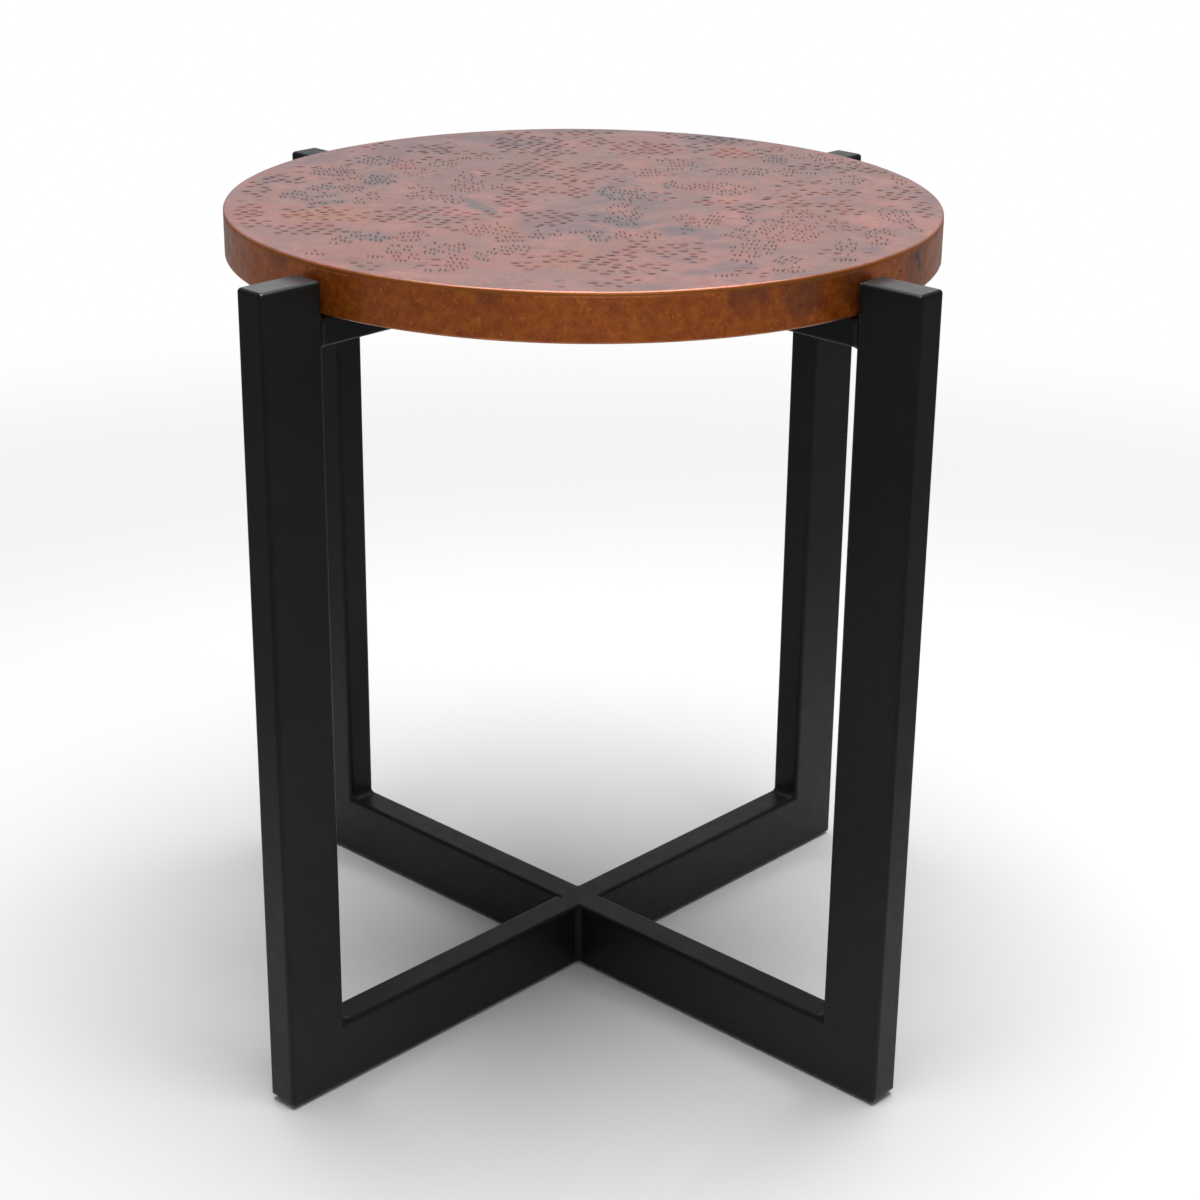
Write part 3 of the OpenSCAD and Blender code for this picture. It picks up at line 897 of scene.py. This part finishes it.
class Nodes:
    """A node material. Values given as sockets are linked, and others are set on the socket."""

    def __init__(self, name):
        self.material = bpy.data.materials.new(name)
        self.material.use_nodes = True
        self.tree = self.material.node_tree
        self.surface = self.tree.nodes["Principled BSDF"]
        self.place = self.add("ShaderNodeTexCoord").outputs["Object"]

    def add(self, kind, inputs=(), **settings):
        node = self.tree.nodes.new(kind)
        for key, value in settings.items():
            setattr(node, key, value)
        for key, value in dict(inputs).items():
            self.set(node.inputs[key], value)
        return node

    def set(self, socket, value):
        if isinstance(value, bpy.types.NodeSocket):
            self.tree.links.new(value, socket)
        else:
            socket.default_value = value

    def noise(self, scale, detail=4.0, roughness=0.5, distortion=0.0, stretch=None, offset=0.0):
        """Noise of about 1 / scale metres, stretched along each axis by stretch."""
        place = self.place
        if stretch or offset:
            place = self.add("ShaderNodeMapping", {
                "Vector": place, "Scale": stretch or (1, 1, 1), "Location": (offset, offset, offset),
            }).outputs[0]
        inputs = {
            "Vector": place, "Scale": scale, "Detail": detail, "Roughness": roughness,
            "Distortion": distortion,
        }
        return self.add("ShaderNodeTexNoise", inputs).outputs["Fac"]

    def between(self, value, low, high, to_low=0.0, to_high=1.0):
        """Maps low..high to to_low..to_high, held at the ends."""
        inputs = {"Value": value, "From Min": low, "From Max": high, "To Min": to_low, "To Max": to_high}
        return self.add("ShaderNodeMapRange", inputs, interpolation_type="SMOOTHSTEP").outputs["Result"]

    def maths(self, operation, a, b=0.0):
        return self.add("ShaderNodeMath", {0: a, 1: b}, operation=operation).outputs[0]

    def mix(self, share, a, b, blend="MIX"):
        """Colour a, going to b as share goes to 1."""
        node = self.add("ShaderNodeMix", data_type="RGBA", blend_type=blend)
        for socket, value in ((node.inputs[0], share), (node.inputs[6], a), (node.inputs[7], b)):
            if isinstance(value, tuple):
                value = (*value, 1.0)
            self.set(socket, value)
        return node.outputs[2]

    def paint(self):
        """The four painted values of the mesh."""
        attribute = self.add("ShaderNodeAttribute", attribute_name="paint")
        split = self.add("ShaderNodeSeparateColor", {"Color": attribute.outputs["Color"]})
        return split.outputs[0], split.outputs[1], split.outputs[2], attribute.outputs["Alpha"]

    def ramp(self, value, colours):
        """Runs evenly through colours as value goes from 0 to 1."""
        node = self.add("ShaderNodeValToRGB", {"Fac": value})
        stops = node.color_ramp.elements
        stops[1].position = 1
        for i in range(1, len(colours) - 1):
            stops.new(i / (len(colours) - 1))
        for stop, colour in zip(stops, colours):
            stop.color = (*colour, 1.0)
        return node.outputs["Color"]

    def bumps(self, *layers):
        """Stacks (height, distance) layers of bump, the broadest first."""
        normal = None
        for height, distance in layers:
            inputs = {"Height": height, "Distance": distance, "Strength": 1.0}
            if normal:
                inputs["Normal"] = normal
            normal = self.add("ShaderNodeBump", inputs).outputs["Normal"]
        return normal

    def finish(self, **inputs):
        for key, value in inputs.items():
            name = key.replace("_", " ")
            if isinstance(value, tuple) and len(value) == 3:
                value = (*value, 1.0)
            self.set(self.surface.inputs[name], value)
        return self.material


def powder_coat():
    """Satin black powder coat: orange peel, a little dust, scuffed edges, and leg tips polished by hands."""
    n = Nodes("powder_coat")
    edge, corner, _, polish = n.paint()
    cloud = n.between(n.noise(7, detail=3), 0.35, 0.65)
    dust = n.between(n.noise(38, detail=6, roughness=0.65, offset=3.0), 0.55, 0.8)
    colour = n.mix(cloud, (0.0060, 0.0066, 0.0070), (0.0088, 0.0096, 0.0104))
    colour = n.mix(n.maths("MULTIPLY", dust, 0.2), colour, (0.024, 0.025, 0.026))
    scuff = n.between(n.noise(210, detail=5, roughness=0.7, offset=9.0), 0.60, 0.70)
    worn = n.maths("MULTIPLY", n.maths("POWER", edge, 2.0), scuff)
    colour = n.mix(n.maths("MULTIPLY", worn, 0.14), colour, (0.10, 0.105, 0.11))
    grit = n.noise(420, detail=5, roughness=0.7, offset=4.0)
    chip = n.between(n.maths("MULTIPLY", corner, grit), 0.44, 0.50)
    colour = n.mix(chip, colour, (0.42, 0.43, 0.45))
    dull = n.between(n.noise(90, detail=5), 0.3, 0.7, 0.38, 0.47)
    roughness = n.maths("SUBTRACT", dull, n.maths("MULTIPLY", polish, 0.08))
    gloss = n.maths("MULTIPLY", polish, 0.75)
    normal = n.bumps((n.noise(34, detail=2), 0.00015), (n.noise(760, detail=2, roughness=0.4), 0.000024))
    return n.finish(Base_Color=colour, Roughness=roughness, Normal=normal, Specular_IOR_Level=0.26,
                    Specular_Tint=(0.86, 0.93, 1.0), Coat_Weight=gloss, Coat_Roughness=0.35, Coat_IOR=1.8)


# Colours of the patina and of the stain in the dents, as the tint goes from 0 to 1.
PATINA = (
    (0.35, 0.145, 0.090), (0.30, 0.108, 0.098), (0.23, 0.120, 0.092), (0.18, 0.092, 0.108),
    (0.085, 0.080, 0.090),
)
STAIN = (
    (0.100, 0.026, 0.012), (0.070, 0.016, 0.014), (0.040, 0.017, 0.012), (0.032, 0.013, 0.018),
    (0.012, 0.011, 0.013),
)


def copper_top():
    """Lacquered copper with a rose ground, clouds of patina round the marks, and stained dents."""
    n = Nodes("copper_top")
    dent, strength, tint, roll = n.paint()
    mottle = n.between(n.noise(24, detail=8, roughness=0.62, distortion=0.8), 0.36, 0.64)
    ground = n.mix(mottle, (0.41, 0.152, 0.130), (0.25, 0.124, 0.100))
    drift = n.between(n.noise(9, detail=4, distortion=1.0, offset=5.0), 0.50, 0.68)
    colour = n.mix(n.maths("MULTIPLY", drift, 0.5), ground, (0.235, 0.125, 0.125))
    smoke = n.between(n.noise(17, detail=7, roughness=0.6, distortion=0.8, offset=11.0), 0.50, 0.75)
    colour = n.mix(n.maths("MULTIPLY", smoke, 0.7), colour, (0.115, 0.078, 0.088))
    streak = n.noise(42, detail=7, roughness=0.65, distortion=1.0, stretch=(1.0, 0.6, 1.0), offset=2.0)
    ragged = n.maths("ADD", strength, n.between(streak, 0.25, 0.75, -0.42, 0.42))
    cloud = n.between(ragged, 0.05, 0.9)
    colour = n.mix(n.maths("MULTIPLY", cloud, 0.95), colour, n.ramp(tint, PATINA))
    rust = n.between(n.noise(66, detail=7, roughness=0.7, distortion=0.6, offset=7.0), 0.52, 0.72)
    colour = n.mix(n.maths("MULTIPLY", rust, 0.6), colour, (0.19, 0.058, 0.045))
    fleck = n.between(n.noise(300, detail=6, roughness=0.75), 0.35, 0.7)
    colour = n.mix(n.maths("MULTIPLY", fleck, 0.5), colour, (0.14, 0.06, 0.05))
    colour = n.mix(n.maths("MULTIPLY", dent, 0.95), colour, n.ramp(tint, STAIN))
    colour = n.mix(n.between(roll, 0.2, 0.8), colour, (0.44, 0.130, 0.020))
    dull = n.between(n.noise(50, detail=4), 0.3, 0.7, 0.36, 0.46)
    roughness = n.maths("ADD", dull, n.maths("MULTIPLY", dent, 0.12))
    coat = n.between(n.maths("ADD", dent, roll), 0.0, 1.0, 0.36, 0.10)
    normal = n.bumps((n.noise(120, detail=3), 0.00010), (n.noise(900, detail=2), 0.000010))
    return n.finish(
        Base_Color=colour, Metallic=0.6, Roughness=roughness, Normal=normal,
        Coat_Weight=coat, Coat_Roughness=0.24, Coat_IOR=1.5,
    )


def copper_rim():
    """Lacquered copper with an amber patina: golden mottling, brown clouds, a few dark spots, and a painted
    highlight along the band's top edge and round its rolled-under corner.
    """
    n = Nodes("copper_rim")
    spot, edge, haze, _ = n.paint()
    mottle = n.between(n.noise(150, detail=7, roughness=0.7), 0.34, 0.66)
    base = n.mix(mottle, (0.41, 0.078, 0.005), (0.60, 0.148, 0.011))
    gold = n.between(n.noise(420, detail=4, roughness=0.7, offset=2.0), 0.56, 0.70)
    colour = n.mix(n.maths("MULTIPLY", gold, 0.6), base, (0.90, 0.34, 0.06))
    brown = n.between(n.noise(26, detail=7, roughness=0.65, distortion=0.6, offset=8.0), 0.53, 0.74)
    colour = n.mix(n.maths("MULTIPLY", brown, 0.42), colour, (0.20, 0.042, 0.010))
    drift = n.between(n.noise(60, detail=7, roughness=0.7), 0.3, 0.7, -0.5, 0.3)
    smoke = n.between(n.maths("ADD", haze, drift), 0.0, 0.8)
    colour = n.mix(n.maths("MULTIPLY", smoke, 0.5), colour, (0.115, 0.034, 0.022))
    wobble = n.between(n.noise(160, detail=4), 0.2, 0.8, -0.35, 0.35)
    ragged = n.maths("MULTIPLY", wobble, n.between(spot, 0.0, 0.3))
    stain = n.between(n.maths("ADD", spot, ragged), 0.0, 0.95)
    colour = n.mix(n.maths("MULTIPLY", stain, 0.8), colour, (0.060, 0.020, 0.012))
    # painted highlight: lighter orange where the band's top edge and the middle of its rolled-under corner
    # catch the light
    colour = n.mix(n.maths("MULTIPLY", edge, 0.4), colour, (0.60, 0.27, 0.12))
    roughness = n.between(n.noise(80, detail=4), 0.3, 0.7, 0.34, 0.46)
    normal = n.bumps((n.noise(75, detail=3), 0.00018), (n.noise(600, detail=2), 0.00002))
    return n.finish(
        Base_Color=colour, Metallic=0.6, Roughness=roughness, Normal=normal,
        Coat_Weight=0.5, Coat_Roughness=0.16, Coat_IOR=1.5,
    )


def core_board():
    """Raw fibreboard."""
    n = Nodes("core_board")
    fibre = n.noise(300, detail=8, roughness=0.75)
    colour = n.mix(n.between(fibre, 0.3, 0.7), (0.24, 0.15, 0.08), (0.36, 0.24, 0.14))
    return n.finish(Base_Color=colour, Roughness=0.85, Normal=n.bumps((fibre, 0.0001)))


def backing_board():
    """Hardboard painted black, with its screen-like grain."""
    n = Nodes("backing_board")
    grain = n.noise(420, detail=4, roughness=0.7)
    wear = n.between(n.noise(9, detail=4, offset=6.0), 0.45, 0.75)
    colour = n.mix(wear, (0.012, 0.011, 0.010), (0.026, 0.022, 0.019))
    return n.finish(Base_Color=colour, Roughness=0.7, Normal=n.bumps((grain, 0.00012)))


def felt():
    """Dark grey pressed felt."""
    n = Nodes("felt")
    fluff = n.noise(1400, detail=6, roughness=0.8)
    colour = n.mix(n.between(fluff, 0.3, 0.7), (0.022, 0.022, 0.024), (0.060, 0.060, 0.062))
    return n.finish(Base_Color=colour, Roughness=0.95, Sheen_Weight=0.3, Normal=n.bumps((fluff, 0.0003)))


def foot_rubber():
    """Dull black rubber."""
    n = Nodes("foot_rubber")
    grain = n.noise(900, detail=4)
    colour = n.mix(n.between(grain, 0.3, 0.7), (0.014, 0.014, 0.014), (0.026, 0.026, 0.026))
    return n.finish(Base_Color=colour, Roughness=0.75, Normal=n.bumps((grain, 0.00005)))


def tack_copper():
    """Copper-plated tacks, dulled."""
    n = Nodes("tack_copper")
    dull = n.noise(700, detail=5, roughness=0.7)
    colour = n.mix(n.between(dull, 0.35, 0.65), (0.40, 0.16, 0.06), (0.16, 0.06, 0.03))
    return n.finish(Base_Color=colour, Metallic=0.9, Roughness=0.38, Normal=n.bumps((dull, 0.00003)))


def paint_node(name, material):
    """Gives a CAD node that stays in view its material."""
    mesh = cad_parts[name].data
    mesh.materials.clear()
    mesh.materials.append(material)


# ---------------------------------------------------------------- stage, light and camera

HEADING = math.radians(133.08)   # the way the camera looks, anticlockwise from +X
CAMERA_POLAR = math.radians(-46.45)
CAMERA_DISTANCE = 1.7736
CAMERA_HEIGHT = 1.0133
CAMERA_PITCH = math.radians(21.81)
CAMERA_ROLL = math.radians(0.646)
LENS_MM = 75.87


def make_camera():
    """Camera at the height and angle of a person standing a couple of metres off."""
    data = bpy.data.cameras.new("camera")
    data.lens = LENS_MM
    data.sensor_width = 36
    camera = bpy.data.objects.new("camera", data)
    bpy.context.scene.collection.objects.link(camera)
    ahead = Vector((
        math.cos(HEADING) * math.cos(CAMERA_PITCH),
        math.sin(HEADING) * math.cos(CAMERA_PITCH),
        -math.sin(CAMERA_PITCH),
    ))
    level = ahead.cross(Vector((0, 0, 1))).normalized()
    above = level.cross(ahead)
    right = level * math.cos(CAMERA_ROLL) + above * math.sin(CAMERA_ROLL)
    up = above * math.cos(CAMERA_ROLL) - level * math.sin(CAMERA_ROLL)
    turn = Matrix((right, up, -ahead)).transposed()
    at = Vector((
        CAMERA_DISTANCE * math.cos(CAMERA_POLAR), CAMERA_DISTANCE * math.sin(CAMERA_POLAR), CAMERA_HEIGHT,
    ))
    camera.matrix_world = Matrix.Translation(at) @ turn.to_4x4()
    bpy.context.scene.camera = camera


AMBIENT, BACKDROP = 0.10, 0.85   # brightness of the studio all round, and low down behind the table
WHITE_FROM, WHITE_TO = 0.65, 1.95   # metres from the table over which the floor fades to white


def make_floor():
    """Plain pale floor: away from the table the camera sees it fade to white, and reflections to grey."""
    n = Nodes("floor")
    away = n.add("ShaderNodeVectorMath", {0: n.place}, operation="LENGTH").outputs["Value"]
    seen = n.add("ShaderNodeLightPath").outputs["Is Camera Ray"]
    hidden = n.maths("MULTIPLY", n.between(away, 0.35, 0.9), n.maths("SUBTRACT", 1.0, seen))
    colour = n.mix(hidden, (0.86, 0.86, 0.86), (0.30, 0.30, 0.30))
    n.finish(Base_Color=colour, Roughness=0.9, Specular_IOR_Level=0.1)
    far = n.maths("MULTIPLY", n.between(away, 1.1, 1.9, 0.0, 0.15), n.maths("SUBTRACT", 1.0, seen))
    share = n.maths("ADD", n.maths("MULTIPLY", n.between(away, WHITE_FROM, WHITE_TO), seen), far)
    white = n.add("ShaderNodeEmission", {"Color": (1.0, 1.0, 1.0, 1.0)}).outputs[0]
    blend = n.add("ShaderNodeMixShader", {0: share, 1: n.surface.outputs[0], 2: white}).outputs[0]
    n.set(n.tree.nodes["Material Output"].inputs["Surface"], blend)
    mesh = bpy.data.meshes.new("floor")
    reach = 30
    corners = [(-reach, -reach, 0), (reach, -reach, 0), (reach, reach, 0), (-reach, reach, 0)]
    mesh.from_pydata(corners, [], [(0, 1, 2, 3)])
    mesh.materials.append(n.material)
    floor = bpy.data.objects.new("floor", mesh)
    bpy.context.scene.collection.objects.link(floor)


def make_world():
    """White studio: seen as plain white, and lighting the table from a low bright backdrop behind it."""
    world = bpy.data.worlds.new("studio")
    world.use_nodes = True
    bpy.context.scene.world = world
    tree = world.node_tree
    tree.nodes.clear()
    link = tree.links.new
    ahead = (math.cos(HEADING), math.sin(HEADING), 0)
    place = tree.nodes.new("ShaderNodeTexCoord")
    toward = tree.nodes.new("ShaderNodeVectorMath")
    toward.operation = "DOT_PRODUCT"
    toward.inputs[1].default_value = ahead
    link(place.outputs["Generated"], toward.inputs[0])
    split = tree.nodes.new("ShaderNodeSeparateXYZ")
    link(place.outputs["Generated"], split.inputs["Vector"])

    def fade(value, start, end, low, high):
        node = tree.nodes.new("ShaderNodeMapRange")
        node.interpolation_type = "SMOOTHSTEP"
        for key, number in (("From Min", start), ("From Max", end), ("To Min", low), ("To Max", high)):
            node.inputs[key].default_value = number
        link(value, node.inputs["Value"])
        return node.outputs["Result"]

    behind = fade(toward.outputs["Value"], 0.35, 0.9, 0.0, BACKDROP - AMBIENT)
    low = fade(split.outputs["Z"], 0.30, 0.48, 1.0, 0.2)
    ground_haze = fade(split.outputs["Z"], 0.14, 0.29, 0.50, 1.3)
    dimmed = tree.nodes.new("ShaderNodeMath")
    dimmed.operation = "MULTIPLY"
    link(low, dimmed.inputs[0])
    link(ground_haze, dimmed.inputs[1])
    glow = tree.nodes.new("ShaderNodeMath")
    glow.operation = "MULTIPLY_ADD"
    link(behind, glow.inputs[0])
    link(dimmed.outputs[0], glow.inputs[1])
    glow.inputs[2].default_value = AMBIENT
    lit = tree.nodes.new("ShaderNodeBackground")
    link(glow.outputs[0], lit.inputs["Color"])
    seen = tree.nodes.new("ShaderNodeBackground")
    seen.inputs["Color"].default_value = (1, 1, 1, 1)
    path = tree.nodes.new("ShaderNodeLightPath")
    choose = tree.nodes.new("ShaderNodeMixShader")
    link(path.outputs["Is Camera Ray"], choose.inputs["Fac"])
    link(lit.outputs[0], choose.inputs[1])
    link(seen.outputs[0], choose.inputs[2])
    output = tree.nodes.new("ShaderNodeOutputWorld")
    link(choose.outputs[0], output.inputs["Surface"])


def add_area(name, towards, height, back, sideways, size, power):
    """Square soft light, back metres behind the table and sideways metres to the camera's right."""
    data = bpy.data.lights.new(name, "AREA")
    data.shape = "SQUARE"
    data.size = size
    data.energy = power
    lamp = bpy.data.objects.new(name, data)
    bpy.context.scene.collection.objects.link(lamp)
    ahead = Vector((math.cos(HEADING), math.sin(HEADING), 0))
    right = Vector((math.sin(HEADING), -math.cos(HEADING), 0))
    lamp.location = ahead * back + right * sideways + Vector((0, 0, height))
    aim = Vector(towards) - lamp.location
    lamp.rotation_mode = "QUATERNION"
    lamp.rotation_quaternion = aim.to_track_quat("-Z", "Y")


def make_lights():
    """A large softbox above and behind, and a weak one in front."""
    add_area("key", (0, 0, 0.2), 2.3, 0.0, 0.10, 1.9, 76)
    add_area("front_fill", (0, 0, 0.3), 1.4, -2.6, 0.4, 1.6, 8)


# ---------------------------------------------------------------- the table

black = powder_coat()
for side_name in SIDES:
    make_leg(side_name, black)
    make_leg_cap(side_name, black)
make_lower_rails(black)
make_upper_rails(black)
make_corner_welds(black)
make_crossing_welds(black)
make_crossing_fillers(black)
make_pads(foot_rubber(), felt())
make_top_sheet(copper_top())
make_rim_band(copper_rim())
make_tacks(tack_copper())
paint_node("tray_core", core_board())
paint_node("tray_backing", backing_board())

make_floor()
make_world()
make_lights()
make_camera()
bpy.context.scene.view_settings.view_transform = "Standard"
